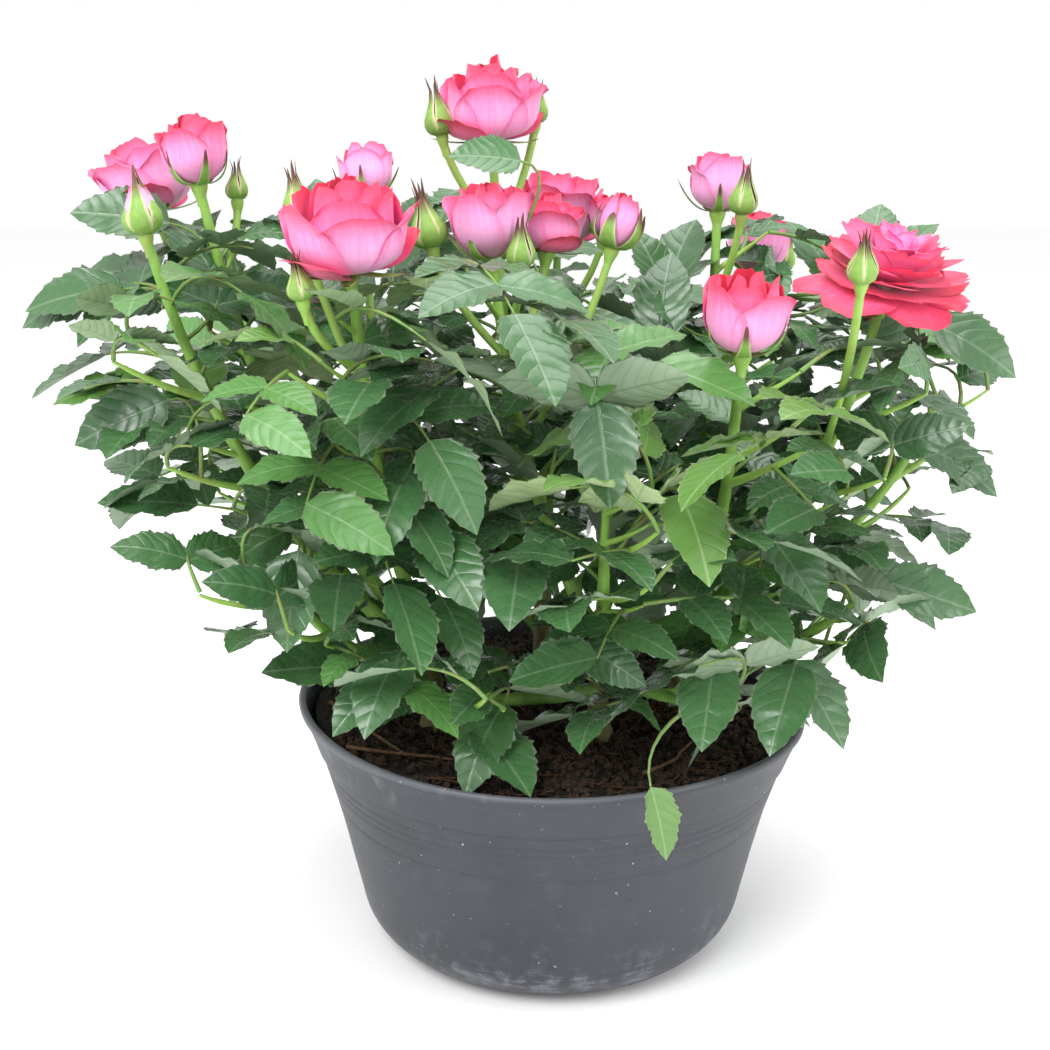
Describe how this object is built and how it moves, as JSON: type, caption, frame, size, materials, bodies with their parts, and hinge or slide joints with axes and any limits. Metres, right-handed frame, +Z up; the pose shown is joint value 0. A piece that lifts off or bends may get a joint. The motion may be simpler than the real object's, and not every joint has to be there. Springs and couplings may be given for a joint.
{
  "type": "potted patio rose bush",
  "caption": "Bushy patio rose in a round plastic bowl pot: short woody stems, forking canes, leafy masses, and pink blooms and buds above the leaves.",
  "frame": {"origin": "centre of the pot's flat underside", "axes": "+Z up, -Y to the front, +X to the right seen from the front"},
  "size_m": [0.4537, 0.3451, 0.4363],
  "materials": {
    "pot": "dark grey matt plastic",
    "soil": "dark damp potting compost",
    "stem": "green-brown young bark",
    "cane": "smooth green cane",
    "foliage": "glossy dark green leaves with coral-pink blooms"
  },
  "bodies": {
    "root": {"pot": "pot", "soil": "soil", "stem_left": "stem", "stem_front": "stem", "stem_right": "stem", "stem_back": "stem", "cane_low_left": "cane", "cane_back_outer_left": "cane", "cane_left_outer": "cane", "cane_left": "cane", "cane_front_left": "cane", "cane_low_front_left": "cane", "cane_low_front_right": "cane", "cane_front": "cane", "cane_middle": "cane", "cane_low_right": "cane", "cane_front_right": "cane", "cane_right_outer": "cane", "cane_low_back_right": "cane", "cane_right": "cane", "cane_right_back": "cane", "cane_back_left": "cane", "cane_back_right": "cane", "cane_high": "cane", "cane_low_back": "cane", "cane_back": "cane", "foliage_low_left": "foliage", "foliage_back_outer_left": "foliage", "foliage_left_outer": "foliage", "foliage_left": "foliage", "foliage_front_left": "foliage", "foliage_low_front_left": "foliage", "foliage_low_front_right": "foliage", "foliage_front": "foliage", "foliage_middle": "foliage", "foliage_low_right": "foliage", "foliage_front_right": "foliage", "foliage_right_outer": "foliage", "foliage_low_back_right": "foliage", "foliage_right": "foliage", "foliage_right_back": "foliage", "foliage_back_left": "foliage", "foliage_back_right": "foliage", "foliage_high": "foliage", "foliage_low_back": "foliage", "foliage_back": "foliage"}
  },
  "joints": []
}
